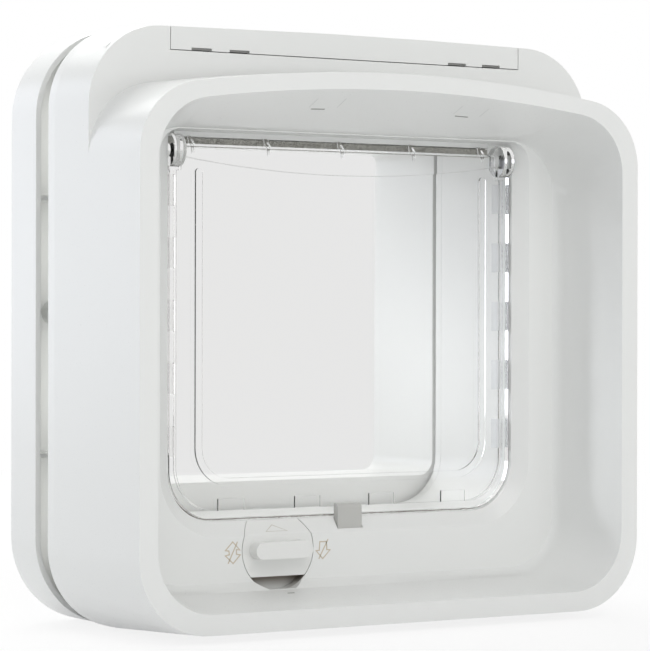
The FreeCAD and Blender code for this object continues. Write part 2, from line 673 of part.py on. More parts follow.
# Lock knob: a round plate that fills its recess, flat above and below, with a pill-shaped grip
def lockKnob():
    body = newBody("Knob")
    x, rad = "-knobOffset", "knobRadius"
    rod(body, "KnobPlate", "y", x, "fasciaDepth", knobLevel, rad, "knobDepth")
    wide = f"({rad}+1)"
    for name, low, high in (("Top", "knobTopFlat", wide), ("Bottom", f"-{wide}", "-knobFlat")):
        block(body, "Flat" + name, (f"{x}-{wide}", f"{x}+{wide}"), ("fasciaDepth-1", "fasciaDepth+knobDepth+1"),
              (f"{knobLevel}+{low}", f"{knobLevel}+{high}"), cut=True)
    slope = polygon(body, "KnobSlope", "YZ_Plane", f"{x}-{wide}", [
        ("fasciaDepth-1", f"{knobLevel}+knobTopFlat+1"),
        ("fasciaDepth-0.01", f"{doorLow}-doorBevel"),
        ("fasciaDepth+doorBevelDepth", doorLow),
        ("fasciaDepth+doorBevelDepth", f"{knobLevel}+knobTopFlat+1")])
    pocket(body, slope, f"2*{wide}", forward=True)
    half = "(gripLength/2-gripWidth/2)"
    front = "(fasciaDepth-gripReach)"
    block(body, "Grip", (f"{x}-{half}", f"{x}+{half}"), (front, "fasciaDepth+0.5"),
          (f"{knobLevel}-gripWidth/2", f"{knobLevel}+gripWidth/2"))
    for name, sign in (("Left", "-1"), ("Right", "1")):
        rod(body, "GripEnd" + name, "y", f"{x}+{sign}*{half}", front, knobLevel, "gripWidth/2",
            "gripReach+0.5")
    rod(body, "KnobShaft", "y", x, "fasciaDepth+knobDepth-0.5", knobLevel, "knobShaftRadius", "shaftLength")
    finish(body, "lock_knob")
    clip = newBody("KnobClip")
    rod(clip, "ClipRing", "y", x, f"{knobSeatBack}+0.1", knobLevel, "knobShaftRadius+3", "0.8")
    rod(clip, "ClipHole", "y", x, f"{knobSeatBack}-1", knobLevel, "knobShaftRadius", "4", cut=True)
    finish(clip, "knob_clip")
    cam = newBody("KnobCam")
    rod(cam, "CamHub", "y", x, f"{knobSeatBack}+1", knobLevel, "knobShaftRadius+camWall", "camDepth")
    rod(cam, "CamLobe", "y", f"{x}+camThrow", f"{knobSeatBack}+1", knobLevel, "knobShaftRadius+camWall",
        "camDepth")
    rod(cam, "CamHole", "y", x, f"{knobSeatBack}-1", knobLevel, "knobShaftRadius", "8", cut=True)
    finish(cam, "knob_cam")


def rack(body, name, side, depth, low, count):
    """Straight-sided teeth along one edge of a latch's stem; side is -1 or 1."""
    step, root, tip = "(pi*gearModule)", "(latchWidth/2-2.25*gearModule)", "(latchWidth/2)"
    half = f"({step}/4-backlash/2)"
    base, crest = f"({half}+1.25*gearModule*tan(20))", f"({half}-gearModule*tan(20))"
    for tooth in range(count):
        middle = f"({low}+{tooth}*{step})"
        shape = polygon(body, f"{name}{tooth}", "XZ_Plane", f"-({depth})", [
            (f"{side}*({root}-0.1)", f"{middle}-{base}"),
            (f"{side}*{root}", f"{middle}-{base}"),
            (f"{side}*{tip}", f"{middle}-{crest}"),
            (f"{side}*{tip}", f"{middle}+{crest}"),
            (f"{side}*{root}", f"{middle}+{base}"),
            (f"{side}*({root}-0.1)", f"{middle}+{base}")])
        pad(body, shape, "latchDepth")


def latch(name, label, side, depth, top, shoulder, foot, low, count):
    """A blade that comes up through the sill, on a stem with a rack down one edge."""
    body = newBody(name)
    root = "(latchWidth/2-2.25*gearModule)"
    stem = ("-latchWidth/2", root) if side == "1" else (f"-{root}", "latchWidth/2")
    block(body, name + "Stem", stem, (depth, f"{depth}+latchDepth"), (foot, f"{shoulder}+1"))
    block(body, name + "Blade", ("-latchWidth/2", "latchWidth/2"), (depth, f"{depth}+latchDepth"),
          (shoulder, top))
    rack(body, name + "Tooth", side, depth, low, count)
    crown = worth(top)
    ease(body, "latchRound", lambda box: box.ZMin > crown - 0.05 and box.YMax < worth(depth) + 0.05)
    finish(body, label)


def latches():
    step = "(pi*gearModule)"
    latch("FrontLatch", "front_latch", "1", frontLatchDepth, f"{doorLow}+latchReach",
          f"{pinionLevel}+gearModule*(pinionTeeth/2+1)+latchTravel+latchGap",
          f"{pinionLevel}-2*{step}+0.03", f"{pinionLevel}-1.5*{step}", 7)
    latch("RearLatch", "rear_latch", "-1", rearLatchDepth, f"{doorLow}-0.4",
          f"{pinionLevel}+gearModule*(pinionTeeth/2+1)+latchGap",
          f"{pinionLevel}-4*{step}+0.03", f"{pinionLevel}-3.5*{step}", 6)


def pinion(name, label, sign, depth):
    """Involute pinion on a motor's shaft, with a tooth pointing at the rack."""
    count, module, pressure = int(worth("pinionTeeth")), worth("gearModule"), math.radians(20)
    pitch = module * count / 2
    base, tip, root = pitch * math.cos(pressure), pitch + module, pitch - 1.25 * module
    roll = lambda radius: math.tan(math.acos(base / radius)) - math.acos(base / radius)
    half = lambda radius: math.pi / 2 / count + math.tan(pressure) - pressure - roll(radius)
    spot = lambda radius, angle: vector(radius * math.cos(angle), radius * math.sin(angle), 0)
    edges = []
    for tooth in range(count):
        centre, gap = 2 * math.pi * tooth / count, 2 * math.pi * (tooth + 0.5) / count
        rise, fall = [[spot(radius, centre + side * half(radius)) for radius in (base, (base + tip) / 2, tip)]
                      for side in (-1, 1)]
        foot, heel = spot(root, centre - half(base)), spot(root, centre + half(base))
        ahead = spot(root, centre + 2 * math.pi / count - half(base))
        edges += [Part.LineSegment(foot, rise[0]), Part.Arc(*rise), Part.Arc(rise[2], spot(tip, centre), fall[2])]
        edges += [Part.Arc(*reversed(fall)), Part.LineSegment(fall[0], heel),
                  Part.Arc(heel, spot(root, gap), ahead)]
    wide = worth("latchDepth-0.4")
    solid = Part.Face(Part.Wire([edge.toShape() for edge in edges])).extrude(vector(0, 0, wide))
    solid = solid.cut(Part.makeCylinder(worth("motorShaft+0.05"), wide + 2, vector(0, 0, -1)))
    place = vector(sign * worth(pinionX), worth(f"{depth}+0.2"), worth(pinionLevel))
    feature = doc.addObject("Part::Feature", name)
    feature.Shape = solid.transformed(FreeCAD.Placement(place, turns["y"]).toMatrix(), True)
    finish(feature, label)


# Small gear motors behind the latches
def motor(name, label, sign, depth, start):
    body = newBody(name)
    x = f"({sign}*{pinionX})"
    block(body, name + "Gearbox", (f"{x}-motorWidth/2", f"{x}+motorWidth/2"), (start, f"{start}+gearboxLength"),
          (f"{pinionLevel}-motorHeight/2", f"{pinionLevel}+motorHeight/2"))
    rod(body, name + "Can", "y", x, f"{start}+gearboxLength-0.1", pinionLevel, "motorWidth/2",
        f"{plateInner}-0.1-({start}+gearboxLength-0.1)")
    rod(body, name + "Shaft", "y", x, f"{depth}+0.1", pinionLevel, "motorShaft", f"{start}-{depth}")
    finish(body, label)


# Plate between the two latches, which guides both and carries the front drive
def latchBracket():
    body = newBody("Bracket")
    block(body, "BracketPlate", (bracketLeft, bracketRight), (bracketFront, bracketBack),
          ("-outerHeight/2+5", bracketHigh))
    rod(body, "ShaftHole", "y", pinionX, "fasciaDepth", pinionLevel, "motorShaft+0.25", "20", cut=True)
    finish(body, "latch_bracket")


# Clear swinging flap: a thin plate with a rim, a raised window edge, a bar and hinge pins
def flap():
    body = newBody("Flap")
    half, low, high = "(doorWidth/2-flapGap)", f"({doorLow}+flapGap)", f"({hingeLevel}+1)"
    shape = lambda name, depth, inset: outline(
        body, name, depth, f"{half}-({inset})", f"{low}+({inset})", f"{high}-({inset})",
        f"flapCorner-({inset})*0.5", "flapHeadCorner", "doorArch")
    pad(body, shape("FlapOuter", "flapFront", "0"), "flapDepth")
    skin = "((flapDepth-flapPlate)/2)"
    pocket(body, shape("FlapFrontFace", "flapFront-0.01", "ridgeWidth"), f"{skin}+0.01")
    pocket(body, shape("FlapBackFace", f"flapFront+flapDepth-{skin}", "ridgeWidth"), f"{skin}+1")
    rod(body, "HingePins", "x", "-(doorWidth/2+tunnelWall-0.3)", "hingeDepth", hingeLevel, "hingePinRadius",
        "doorWidth+2*tunnelWall-0.6")
    block(body, "PinGap", (f"-({half}-knuckleWidth)", f"{half}-knuckleWidth"),
          ("hingeDepth-5", "flapFront"), (f"{hingeLevel}-5", f"{hingeLevel}+5"), cut=True)
    block(body, "PinBack", (f"-({half}-knuckleWidth)", f"{half}-knuckleWidth"),
          ("flapFront+flapDepth", "hingeDepth+5"), (f"{hingeLevel}-5", f"{hingeLevel}+5"), cut=True)
    ridge = lambda name, grow: outline(
        body, name, "flapFront", f"{half}-windowMargin+({grow})", f"{low}+windowMargin+1-({grow})",
        hingeLevel, f"windowCorner+({grow})", "flapHeadCorner", "doorArch")
    pad(body, ridge("RidgeOuter", "ridgeWidth/2"), f"{skin}+0.5")
    pocket(body, ridge("RidgeInner", "-ridgeWidth/2"), skin)
    leg, ends = f"({half}-windowMargin)", f"({hingeLevel}-ridgeDrop)"
    block(body, "RidgeTop", (f"-{leg}-ridgeWidth", f"{leg}+ridgeWidth"), ("flapFront-1", f"flapFront+{skin}"),
          (f"{ends}-ridgeWidth/2", f"{hingeLevel}-0.5"), cut=True)
    for name, sign in (("Left", "-1"), ("Right", "1")):
        rod(body, "RidgeEnd" + name, "y", f"{sign}*{leg}", "flapFront", f"{ends}-ridgeWidth/2", "ridgeWidth/2",
            f"{skin}+0.5")
        block(body, "Knuckle" + name, sorted((f"{sign}*{half}", f"{sign}*({half}-knuckleWidth)"), key=worth),
              ("flapFront", "flapFront+flapDepth"), (f"{hingeLevel}-knuckleRadius-1", hingeLevel))
        rod(body, "KnuckleDisc" + name, "x", f"{sign}*{half}-({sign}+1)/2*knuckleWidth", "hingeDepth",
            hingeLevel, "knuckleRadius", "knuckleWidth")
    for number in range(4):
        x = f"({number}-1.5)*toothPitch"
        block(body, f"Tooth{number}", (f"{x}-toothWidth/2", f"{x}+toothWidth/2"),
              ("flapFront", f"flapFront+{skin}+0.1"), (f"{low}+ridgeWidth/2", f"{low}+toothRise"))
    smileBar(body, half, high, skin)
    for number in range(5):
        x = f"({number}-2)*ribPitch"
        fin = polygon(body, f"Fin{number}", "YZ_Plane", f"{x}-0.5", [
            ("flapFront", f"{hingeLevel}-1"), ("flapFront+flapDepth", f"{hingeLevel}-1"),
            ("hingeDepth+finReach", f"{hingeLevel}+finRise"),
            ("hingeDepth+finReach-1", f"{hingeLevel}+finRise"), ("flapFront", f"{hingeLevel}+1")])
        pad(body, fin, "1", forward=True)
    finish(body, "flap")


def smileBar(body, half, high, skin):
    """Thick bar along the flap's top, whose lower edge bows down in the middle."""
    sketch = newSketch(body, "SmileBar", "XZ_Plane", "-flapFront")
    w, top, ends = worth(f"{half}-ridgeWidth/2"), worth(f"{high}-0.5"), worth(f"{hingeLevel}-barHeight+barSag")
    sag = worth("barSag")
    radius = (w * w + sag * sag) / (2 * sag)
    corner = [vector(-w, ends, 0), vector(w, ends, 0), vector(w, top, 0), vector(-w, top, 0)]
    bow = Part.Arc(corner[0], vector(0, ends - sag, 0), corner[1])
    sketch.addGeometry(bow)
    for start, end in ((1, 2), (2, 3), (3, 0)):
        sketch.addGeometry(Part.LineSegment(corner[start], corner[end]))
    constrain(sketch, "Coincident", 0, 1, 3, 2)
    constrain(sketch, "Coincident", 0, 2, 1, 1)
    constrain(sketch, "Coincident", 1, 2, 2, 1)
    constrain(sketch, "Coincident", 2, 2, 3, 1)
    wide, level = f"({half}-ridgeWidth/2)", f"({hingeLevel}-barHeight+barSag)"
    for line, x, y in ((1, wide, level), (2, wide, f"{high}-0.5"), (3, f"-{wide}", f"{high}-0.5")):
        constrain(sketch, "DistanceX", -1, 1, line, 1, size=x)
        constrain(sketch, "DistanceY", -1, 1, line, 1, size=y)
    constrain(sketch, "DistanceX", -1, 1, 3, 2, size=f"-{wide}")
    constrain(sketch, "DistanceY", -1, 1, 3, 2, size=level)
    constrain(sketch, "Radius", 0, size=f"({wide}^2+barSag^2)/(2*barSag)")
    pad(body, sketch, "flapDepth")


# Pile seals: one along the flap's sides and lower edge, one across the head of the opening
def brushes():
    body = newBody("FlapBrush")
    half, low = "(doorWidth/2-flapGap)", f"({doorLow}+flapGap)"
    depth = "(flapFront+flapDepth/2-brushDepth/2)"
    ring = lambda name, start, grow: outline(
        body, name, start, f"{half}+{grow}", f"{low}-{grow}", f"{hingeLevel}-6",
        f"flapCorner+{grow}", "1", "doorArch")
    pad(body, ring("BrushOuter", depth, "brushReach"), "brushDepth")
    pocket(body, ring("BrushInner", f"{depth}-1", "0"), "brushDepth+2")
    block(body, "BrushTop", (f"-{half}", half), ("flapFront-2", "flapFront+flapDepth+2"),
          (f"{hingeLevel}-9", hingeLevel), cut=True)
    finish(body, "flap_brush")
    head = newBody("HeadBrush")
    block(head, "HeadPile", (f"-{stripReach}", stripReach),
          (f"{stripFront}+0.2", f"{stripFront}+0.2+stripDepth"),
          (f"{hingeLevel}+1.8", f"{doorHigh}-channelDrop-0.05"))
    finish(head, "head_brush")


# Hollow frame for the far side of the panel, with its ribs, screw pillars and tunnel
def rearFrame():
    body = newBody("RearFrame")
    half, top, wall = "(outerWidth/2)", "(outerHeight/2)", "frameWall"
    shape = lambda name, depth, inset: outline(
        body, name, depth, f"{half}-{inset}", f"-{top}+{inset}", f"{top}-{inset}", f"frameCorner-{inset}",
        f"frameCorner-{inset}", f"crownRadius-{inset}")
    pad(body, shape("FrameShape", frameFront, "0"), "frameDepth")
    pocket(body, shape("FrameHollow", frameFront, wall), "frameDepth-frameWall-0.5")
    socket = "(tunnelWall+socketGap)"
    door = lambda name, depth, grow: outline(
        body, name, depth, f"doorWidth/2+{grow}", f"{doorLow}-{grow}", f"{doorHigh}+{grow}",
        f"doorCorner+{grow}", f"doorHeadCorner+{grow}", "doorArch")
    pad(body, door("SocketOuter", frameFront, f"({socket}+frameWall)"), "frameDepth")
    exit = lambda name, depth, grow: outline(
        body, name, depth, f"doorWidth/2+{grow}", f"exitSill-outerHeight/2-{grow}", f"{doorHigh}+{grow}",
        f"exitCorner+{grow}", f"doorHeadCorner+{grow}", "doorArch")
    pad(body, exit("TunnelOuter", f"{frameBack}-1", "tunnelWall"), "tunnelLength+1")
    for name, sign in (("Left", "-1"), ("Right", "1")):
        inner, outer = f"{sign}*(doorWidth/2+{socket}+1)", f"{sign}*({half}-1)"
        low, high = (outer, inner) if sign == "-1" else (inner, outer)
        for place, level in (("Low", "-ribHeight"), ("High", "ribHeight")):
            block(body, "Rib" + place + name, (low, high), (f"{frameFront}+2", f"{frameBack}-1"),
                  (f"{level}-ribWall/2", f"{level}+ribWall/2"))
        x = f"{sign}*fixingSpan/2"
        rod(body, "Pillar" + name, "y", x, f"{frameFront}+1", fixingLevel, "fixingRadius+0.2+bossWall",
            "frameDepth-1.5")
        rod(body, "FixingBore" + name, "y", x, frameFront, fixingLevel, "fixingRadius+0.2", "frameDepth+1",
            cut=True)
        rod(body, "HeadSink" + name, "y", x, f"{frameBack}-headLength-1", fixingLevel, "headRadius+0.25",
            "headLength+3", cut=True)
    pocket(body, door("SocketInner", f"{frameFront}-1", socket), "frameDepth-1")
    pocket(body, exit("TunnelInner", f"{frameBack}-frameWall-1", "0"), "tunnelLength+frameWall+5")
    finish(body, "rear_frame")


# Long screws that clamp the two halves on the panel, with their inserts and caps
def fixings():
    screws, inserts, caps = newBody("FixingScrews"), newBody("Inserts"), newBody("ScrewCaps")
    seat = f"({frameBack}-headLength-1)"
    for name, sign in (("Left", "-1"), ("Right", "1")):
        x = f"{sign}*fixingSpan/2"
        rod(screws, "Head" + name, "y", x, seat, fixingLevel, "headRadius", "headLength")
        foot = f"({plateInner}-insertLength+1)"
        rod(screws, "Shank" + name, "y", x, foot, fixingLevel, "fixingRadius", f"{seat}-{foot}+0.1")
        start = f"({plateInner}-insertLength-1)"
        rod(inserts, "Insert" + name, "y", x, start, fixingLevel, "insertRadius", "insertLength")
        rod(inserts, "InsertBore" + name, "y", x, f"{start}-1", fixingLevel, "fixingRadius+0.05",
            "insertLength+2", cut=True)
        rod(caps, "Cap" + name, "y", x, f"{frameBack}-0.9", fixingLevel, "headRadius+0.15", "1.5")
    finish(screws, "fixing_screws")
    finish(inserts, "threaded_inserts")
    finish(caps, "screw_caps")


frontHousing()
backCover()
batteryCover()
cells()
contacts()
learnButton()
board()
readerCoil()
lockKnob()
latches()
pinion("FrontPinion", "front_pinion", 1, frontLatchDepth)
pinion("RearPinion", "rear_pinion", -1, rearLatchDepth)
motor("FrontMotor", "front_latch_motor", "1", frontLatchDepth, f"({bracketBack}+0.1)")
motor("RearMotor", "rear_latch_motor", "-1", rearLatchDepth, f"({rearLatchDepth}+latchDepth+0.4)")
latchBracket()
flap()
brushes()
rearFrame()
fixings()
doc.recompute()

faults = [o.Name for o in doc.Objects if "Invalid" in o.State or "Error" in o.State]
for item in finished:
    if item.Shape.isNull() or not item.Shape.isValid() or not item.Shape.Solids:
        faults.append(item.Label)
if faults:
    raise RuntimeError("not built: " + ", ".join(faults))
for item in finished:
    item.Shape.exportStep(f"parts/{item.Label}.step")
    print(item.Label, len(item.Shape.Solids), round(item.Shape.Volume, 1))
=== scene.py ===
import bmesh
import bpy
import json
import math
from mathutils import Matrix, Vector
from mathutils.bvhtree import BVHTree


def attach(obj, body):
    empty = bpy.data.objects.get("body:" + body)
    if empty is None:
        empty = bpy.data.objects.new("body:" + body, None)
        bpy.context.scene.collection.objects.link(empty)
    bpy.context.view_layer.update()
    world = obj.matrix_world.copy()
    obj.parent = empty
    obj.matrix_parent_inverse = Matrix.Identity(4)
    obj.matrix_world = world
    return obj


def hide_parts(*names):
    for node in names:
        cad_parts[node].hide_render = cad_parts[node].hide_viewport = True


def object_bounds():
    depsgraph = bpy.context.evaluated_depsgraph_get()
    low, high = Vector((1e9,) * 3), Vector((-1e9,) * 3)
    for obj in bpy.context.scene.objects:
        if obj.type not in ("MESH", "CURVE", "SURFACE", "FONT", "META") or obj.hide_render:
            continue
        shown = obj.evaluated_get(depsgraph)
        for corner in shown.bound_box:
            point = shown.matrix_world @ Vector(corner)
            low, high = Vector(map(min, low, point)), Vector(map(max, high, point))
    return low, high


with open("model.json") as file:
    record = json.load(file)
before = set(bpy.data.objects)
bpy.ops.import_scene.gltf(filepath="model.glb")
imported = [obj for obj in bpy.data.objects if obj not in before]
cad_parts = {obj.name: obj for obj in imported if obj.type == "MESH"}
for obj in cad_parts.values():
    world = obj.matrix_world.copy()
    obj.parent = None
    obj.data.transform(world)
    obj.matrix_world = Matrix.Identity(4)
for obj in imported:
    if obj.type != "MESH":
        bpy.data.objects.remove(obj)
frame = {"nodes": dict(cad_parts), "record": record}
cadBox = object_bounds()
middle = (Vector(cadBox[0]) + Vector(cadBox[1])) / 2
print("frame loaded:", len(frame["nodes"]), "nodes")


# shader maths as plain expressions on sockets
class Link:
    def __init__(self, tree, socket):
        self.tree = tree
        self.socket = socket

    def maths(self, operation, *values):
        node = self.tree.nodes.new("ShaderNodeMath")
        node.operation = operation
        for place, value in enumerate(values):
            plug(self.tree, value, node.inputs[place])
        return Link(self.tree, node.outputs[0])

    def __add__(self, other):
        return self.maths("ADD", self, other)

    def __radd__(self, other):
        return self.maths("ADD", other, self)

    def __sub__(self, other):
        return self.maths("SUBTRACT", self, other)

    def __rsub__(self, other):
        return self.maths("SUBTRACT", other, self)

    def __mul__(self, other):
        return self.maths("MULTIPLY", self, other)

    def __rmul__(self, other):
        return self.maths("MULTIPLY", other, self)

    def size(self):
        return self.maths("ABSOLUTE", self)

    def clamp(self):
        link = self.maths("MAXIMUM", self, 0)
        return link.maths("MINIMUM", link, 1)

    # 0 below the edge and 1 above it, with a soft step between
    def above(self, edge, soft):
        return ((self - edge) * (1 / soft) + 0.5).clamp()


def plug(tree, value, socket):
    if isinstance(value, Link):
        tree.links.new(value.socket, socket)
    elif isinstance(value, bpy.types.NodeSocket):
        tree.links.new(value, socket)
    else:
        socket.default_value = value


class Shader:
    def __init__(self, name):
        self.material = bpy.data.materials.new(name)
        self.material.use_nodes = True
        self.tree = self.material.node_tree
        self.surface = self.tree.nodes["Principled BSDF"]
        self.output = self.tree.nodes["Material Output"]
        self.place = self.add("ShaderNodeTexCoord", {}, {}, "Object")

    # any node: its type, its settings, then the values or links of its sockets
    def add(self, kind, settings, sockets, output=0):
        node = self.tree.nodes.new(kind)
        for key, value in settings.items():
            setattr(node, key, value)
        for key, value in sockets.items():
            plug(self.tree, value, node.inputs[key])
        return Link(self.tree, node.outputs[output])

    def noise(self, scale, detail=2, roughness=0.5):
        return self.add("ShaderNodeTexNoise", {}, {"Vector": self.place, "Scale": scale, "Detail": detail,
                                                   "Roughness": roughness})

    def mix(self, factor, first, second):
        node = self.tree.nodes.new("ShaderNodeMix")
        node.data_type = "RGBA"
        plug(self.tree, factor, node.inputs["Factor"])
        for key, value in (("A", first), ("B", second)):
            socket = next(s for s in node.inputs if s.name == key and s.type == "RGBA")
            plug(self.tree, value if isinstance(value, Link) else (*value, 1), socket)
        return Link(self.tree, next(s for s in node.outputs if s.type == "RGBA"))

    def bump(self, height, distance):
        return self.add("ShaderNodeBump", {}, {"Height": height, "Distance": distance, "Strength": 1})

    def set(self, **values):
        for key, value in values.items():
            socket = self.surface.inputs[key.replace("_", " ")]
            if isinstance(value, tuple) and len(value) == 3 and socket.type == "RGBA":
                value = (*value, 1)
            plug(self.tree, value, socket)

    # shows the second surface in place of the first where the factor is 1
    def blend(self, factor, first, second):
        mixed = self.add("ShaderNodeMixShader", {}, {0: factor, 1: first, 2: second})
        self.tree.links.new(mixed.socket, self.output.inputs["Surface"])


plastic = {"cloud": 14, "vary": 0.008, "fine": 1800, "fineEdge": 0.6, "gloss": 0.03, "grain": 1.2e-6}


def moulded(name, colour, rough, wellShade=None):
    shader = Shader(name)
    cloud = shader.noise(plastic["cloud"])
    fine = shader.noise(plastic["fine"], roughness=plastic["fineEdge"])
    pale = tuple(min(1, part * (1 + plastic["vary"])) for part in colour)
    deep = tuple(part * (1 - plastic["vary"]) for part in colour)
    tone = shader.mix(cloud, deep, pale)
    if wellShade:
        # painted shade: darkens the colour inside the recess under the knob
        tone = shader.mix(wellShadeMask(shader, wellShade), tone, wellShade["shade"])
    shader.set(Base_Color=tone, Roughness=rough + (fine - 0.5) * plastic["gloss"],
               Normal=shader.bump(fine, plastic["grain"]))
    return shader.material


# where the painted shade falls in the recess under the knob: 1 inside, 0 outside
def wellShadeMask(shader, wellShade):
    across, depth, height = (shader.add("ShaderNodeSeparateXYZ", {}, {"Vector": shader.place}, side)
                             for side in range(3))
    beside = (across - wellShade["x"]).size().above(wellShade["half"], wellShade["edge"])
    high = height.above(wellShade["head"], wellShade["edge"])
    inner = depth.above(wellShade["depth"], wellShade["edge"]) * height.above(wellShade["foot"], wellShade["fade"])
    return inner * (1 - beside) * (1 - high)


metal = {"streaks": 900, "dim": 0.92, "gloss": 0.12, "grain": 0.00001}


def metalFinish(name, colour, rough):
    shader = Shader(name)
    streak = shader.noise(metal["streaks"])
    dim = tuple(part * metal["dim"] for part in colour)
    shader.set(Base_Color=shader.mix(streak, dim, colour), Metallic=1.0,
               Roughness=rough + (streak - 0.5) * metal["gloss"], Normal=shader.bump(streak, metal["grain"]))
    return shader.material


# the flap's clear plastic, which lets most of the light through in its shadow
clear = {"tint": (0.985, 0.984, 0.98), "shadow": 0.97, "index": 1.49, "rough": 0.015, "haze": 0.02,
         "hazeScale": 30}


def clearFinish():
    shader = Shader("clearPlastic")
    haze = shader.noise(clear["hazeScale"], 1)
    shader.set(Base_Color=clear["tint"], Roughness=haze * clear["haze"] + clear["rough"],
               Transmission_Weight=1.0, IOR=clear["index"])
    shadow = shader.add("ShaderNodeLightPath", {}, {}, "Is Shadow Ray")
    hole = shader.add("ShaderNodeBsdfTransparent", {}, {"Color": (*[clear["shadow"]] * 3, 1)})
    shader.blend(shadow, shader.surface.outputs[0], hole)
    return shader.material


# milky, partly clear plastic for the tabs on the flap's right side; its whiteness is a painted highlight, as the
# same tabs on the left are clear
highlightTab = {"cloud": 300, "deep": (0.90, 0.92, 0.93), "pale": (0.96, 0.97, 0.98), "rough": 0.25, "through": 0.3,
         "index": 1.3}


def highlightTabFinish():
    shader = Shader("paintedHighlightTab")
    shader.set(Base_Color=shader.mix(shader.noise(highlightTab["cloud"]), highlightTab["deep"], highlightTab["pale"]),
               Roughness=highlightTab["rough"], Transmission_Weight=highlightTab["through"], IOR=highlightTab["index"])
    return shader.material


# pile seen close: each bristle a little lighter or darker than the next
fibre = {"tones": 1100, "toneEdge": 0.7, "rough": 0.9, "nap": 2600, "napDepth": 0.00005}


def pileFinish(name, dark, pale):
    shader = Shader(name)
    tones = shader.noise(fibre["tones"], roughness=fibre["toneEdge"])
    shader.set(Base_Color=shader.mix(tones, dark, pale), Roughness=fibre["rough"],
               Normal=shader.bump(shader.noise(fibre["nap"]), fibre["napDepth"]))
    return shader.material


white = {"colour": (0.805, 0.812, 0.80), "rough": 0.28}
finishes = {
    "shell_white": moulded("shellWhite", **white),
    "knob_white": moulded("knobWhite", (0.80, 0.805, 0.79), 0.30),
    "latch_grey": moulded("latchGrey", (0.50, 0.50, 0.48), 0.4),
    "latch_brown": moulded("latchBrown", (0.14, 0.105, 0.08), 0.45),
    "gear_plastic": moulded("gearAcetal", (0.72, 0.70, 0.64), 0.4),
    "bracket_plastic": moulded("bracketGrey", (0.08, 0.08, 0.085), 0.45),
    "switch_black": moulded("switchBlack", (0.02, 0.02, 0.022), 0.4),
    "button_red": moulded("buttonRed", (0.42, 0.03, 0.025), 0.35),
    "board_green": moulded("boardGreen", (0.02, 0.11, 0.05), 0.35),
    "cell": moulded("cellWrap", (0.12, 0.125, 0.13), 0.25),
    "spring_steel": metalFinish("springSteel", (0.62, 0.62, 0.62), 0.3),
    "screw_steel": metalFinish("screwSteel", (0.58, 0.58, 0.59), 0.32),
    "motor_metal": metalFinish("motorCan", (0.56, 0.57, 0.59), 0.3),
    "copper": metalFinish("coilCopper", (0.62, 0.26, 0.12), 0.35),
    "insert_brass": metalFinish("insertBrass", (0.68, 0.48, 0.2), 0.3),
    "pile": pileFinish("pileGrey", (0.34, 0.335, 0.31), (0.66, 0.65, 0.61)),
    "flap_clear": clearFinish(),
}
# painted shade in the recess under the knob's straight edge, where the front housing's colour is darkened, in the
# frame's metres
wellShade = {"x": -0.0303, "half": 0.012, "depth": -0.0329, "head": 0.0195, "foot": 0.0149, "fade": 0.004,
        "edge": 0.0004, "shade": (0.15, 0.125, 0.10)}
extras = {
    # the front housing's white, with painted shade in the recess under the knob
    "frontShellShaded": moulded("frontShellShaded", **white, wellShade=wellShade),
    "faint": moulded("faintLine", (0.68, 0.69, 0.68), 0.35),
    "palePrint": moulded("palePrint", (0.60, 0.585, 0.53), 0.5),
    "ringPile": pileFinish("ringPile", (0.11, 0.095, 0.08), (0.30, 0.27, 0.24)),
    "print": moulded("printBeige", (0.58, 0.50, 0.39), 0.5),
    # dark grey for painted shade in the clip slits and on the floor under the knob
    "dark": moulded("slotShade", (0.24, 0.24, 0.22), 0.6),
    # painted highlight on the tabs of the flap's right side
    "highlightTab": highlightTabFinish(),
    # mid grey hooks, painted shade of the slots under the cover
    "hook": moulded("hookGrey", (0.30, 0.30, 0.29), 0.5),
}
print("finishes made:", len(finishes) + len(extras))

slots = {part["node"]: part["material_slot"] for part in frame["record"]["subparts"]}
bodies = {node: body for body, nodes in frame["record"]["behaviour"]["bodies"].items() for node in nodes}


def added(name, data):
    thing = bpy.data.objects.new(name, data)
    bpy.context.scene.collection.objects.link(thing)
    return thing


# how far each piece's sharp edges are eased, and more on the outer and inner edges at its front or back end
eased = {"front_housing": {"all": 0.0005, "end": min, "outer": 0.0013, "inner": 0.002},
         "rear_frame": {"all": 0.0006, "end": max, "outer": 0.003, "inner": 0.0012},
         "back_cover": {"all": 0.0004}, "battery_cover": {"all": 0.0004}, "lock_knob": {"all": 0.0005},
         "flap": {"all": 0.0004}, "front_latch": {"all": 0.0012}, "rear_latch": {"all": 0.0004}}
clean = {"weld": 2e-6, "sliver": 1e-6, "flat": 0.6, "sharp": 35, "atEnd": 0.0001, "steps": 3}


def easeOf(edge, how, depth):
    if "end" not in how or any(abs(corner.co.y - depth) > clean["atEnd"] for corner in edge.verts):
        return how["all"]
    side = min(edge.link_faces, key=lambda face: abs(face.normal.y))
    away = (edge.verts[0].co + edge.verts[1].co) / 2 - middle
    away.y = 0
    return how["outer"] if side.normal.dot(away) > 0 else how["inner"]


